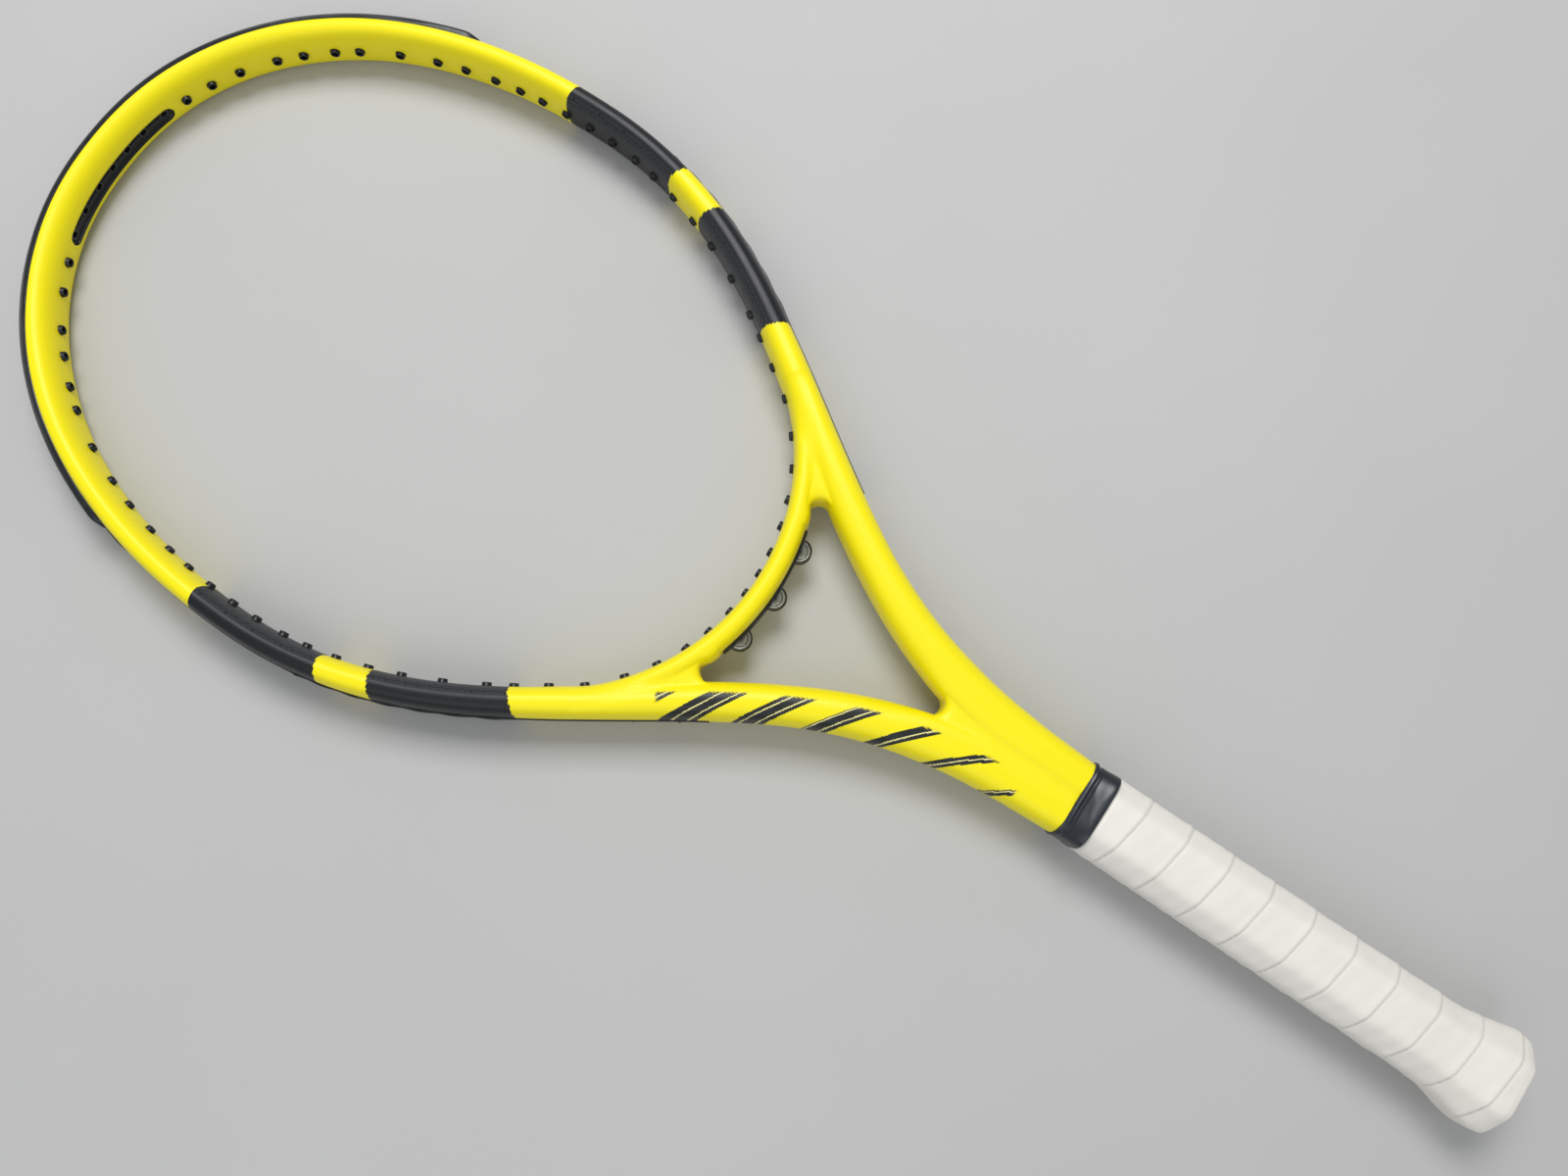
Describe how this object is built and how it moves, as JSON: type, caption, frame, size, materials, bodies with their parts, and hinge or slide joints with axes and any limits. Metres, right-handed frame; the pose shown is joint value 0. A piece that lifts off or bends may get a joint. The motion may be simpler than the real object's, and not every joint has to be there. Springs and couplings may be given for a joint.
{
  "type": "tennis racket",
  "caption": "Unstrung tennis racket: a hollow oval head with string guards, an open throat with sprung string loops, and a wrapped octagonal handle with a flared butt.",
  "frame": {"origin": "centre of the butt's flat end face", "axes": "+Y from the butt to the tip of the head, +X across the head, +Z out of the string plane; the racket lies flat"},
  "size_m": [0.2688, 0.685, 0.037],
  "materials": {
    "frame_paint": "satin paint over moulded graphite, with dark bands",
    "guard_nylon": "moulded nylon, satin",
    "clear_loop": "smoke-coloured clear elastomer",
    "handle_foam": "moulded polyurethane foam",
    "cap_plastic": "moulded plastic, matte",
    "staple_wire": "galvanised wire",
    "grip_leather": "smooth synthetic leather strip, wound in a spiral",
    "collar_rubber": "soft glossy rubber"
  },
  "bodies": {
    "racket": {"frame_tube": "frame_paint", "throat_bridge": "frame_paint", "bumper_guard": "guard_nylon", "tip_slot_liner": "guard_nylon", "side_strip_left": "guard_nylon", "side_strip_right": "guard_nylon", "throat_strip": "guard_nylon", "corner_grommets": "guard_nylon", "handle_pallet": "handle_foam", "tube_end_plugs": "handle_foam", "butt_cap": "cap_plastic", "butt_cap_staples": "staple_wire", "grip_tape": "grip_leather", "grip_staple": "staple_wire", "rubber_collar": "collar_rubber"},
    "loop_left": {"string_loop_left": "clear_loop"},
    "loop_center": {"string_loop_center": "clear_loop"},
    "loop_right": {"string_loop_right": "clear_loop"}
  },
  "joints": [
    {"name": "loop_left_slide", "type": "slide", "parent": "racket", "child": "loop_left", "axis": [0.2028, 0.9792, 0], "range_m": [0, 0.001], "stiffness_N_per_m": 300},
    {"name": "loop_center_slide", "type": "slide", "parent": "racket", "child": "loop_center", "axis": [0, 1, 0], "range_m": [0, 0.001], "stiffness_N_per_m": 300},
    {"name": "loop_right_slide", "type": "slide", "parent": "racket", "child": "loop_right", "axis": [-0.2028, 0.9792, 0], "range_m": [0, 0.001], "stiffness_N_per_m": 300}
  ]
}
